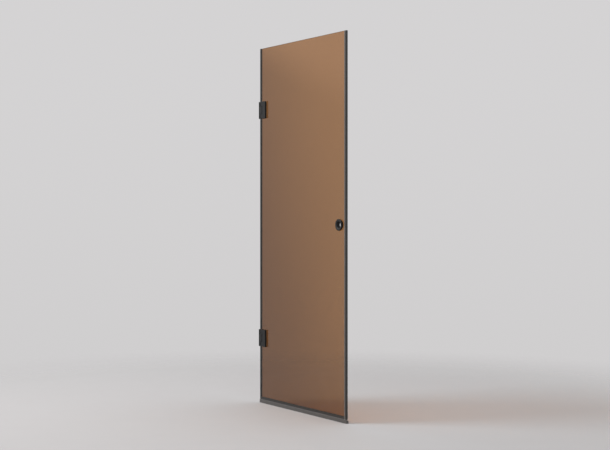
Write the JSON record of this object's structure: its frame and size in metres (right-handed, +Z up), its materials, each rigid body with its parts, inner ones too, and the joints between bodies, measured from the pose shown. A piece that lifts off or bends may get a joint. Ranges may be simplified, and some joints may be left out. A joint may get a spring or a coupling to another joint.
{
  "type": "frameless glass shower door",
  "caption": "Frameless bronze glass shower door for a niche, on two black wall hinges, with a round ring pull, edge seals and a low floor threshold.",
  "frame": {"origin": "middle of the lower hinge's wall plate, on its face against the wall; the floor is 0.367 m below", "axes": "+X across the opening to the closing wall, -Y out of the shower towards the user, +Z up"},
  "size_m": [0.884, 0.0261, 2],
  "materials": {
    "bronze_glass": "polished, tinted through",
    "black_coat": "satin powder coat",
    "graphite_aluminium": "satin anodised",
    "dark_steel": "black oxide",
    "black_rubber": "matte",
    "dark_seal": "matte",
    "grey_seal": "satin"
  },
  "bodies": {
    "niche_fixings": {"closing_magnet_strip": "dark_seal", "closing_wall_profile": "graphite_aluminium", "lower_hinge_knuckle": "black_coat", "lower_hinge_wall_plate": "black_coat", "lower_hinge_wall_screw_bottom": "dark_steel", "lower_hinge_wall_screw_top": "dark_steel", "threshold": "graphite_aluminium", "upper_hinge_knuckle": "black_coat", "upper_hinge_wall_plate": "black_coat", "upper_hinge_wall_screw_bottom": "dark_steel", "upper_hinge_wall_screw_top": "dark_steel"},
    "leaf": {"bottom_drip_seal": "dark_seal", "closing_edge_seal": "grey_seal", "glass_pane": "bronze_glass", "hinge_edge_seal_bottom": "dark_seal", "hinge_edge_seal_middle": "dark_seal", "hinge_edge_seal_top": "dark_seal", "lower_hinge_clamp_screw_bottom": "dark_steel", "lower_hinge_clamp_screw_top": "dark_steel", "lower_hinge_inner_gasket": "black_rubber", "lower_hinge_inner_plate": "black_coat", "lower_hinge_outer_gasket": "black_rubber", "lower_hinge_outer_plate": "black_coat", "lower_hinge_pin": "dark_steel", "pull_inner_ring": "black_coat", "pull_inner_washer": "black_rubber", "pull_outer_ring": "black_coat", "pull_outer_washer": "black_rubber", "upper_hinge_clamp_screw_bottom": "dark_steel", "upper_hinge_clamp_screw_top": "dark_steel", "upper_hinge_inner_gasket": "black_rubber", "upper_hinge_inner_plate": "black_coat", "upper_hinge_outer_gasket": "black_rubber", "upper_hinge_outer_plate": "black_coat", "upper_hinge_pin": "dark_steel"}
  },
  "joints": [
    {"name": "door_swing", "type": "hinge", "parent": "niche_fixings", "child": "leaf", "pos_m": [0.028, 0, 0], "axis": [0, 0, -1], "range_deg": [0, 90]}
  ]
}
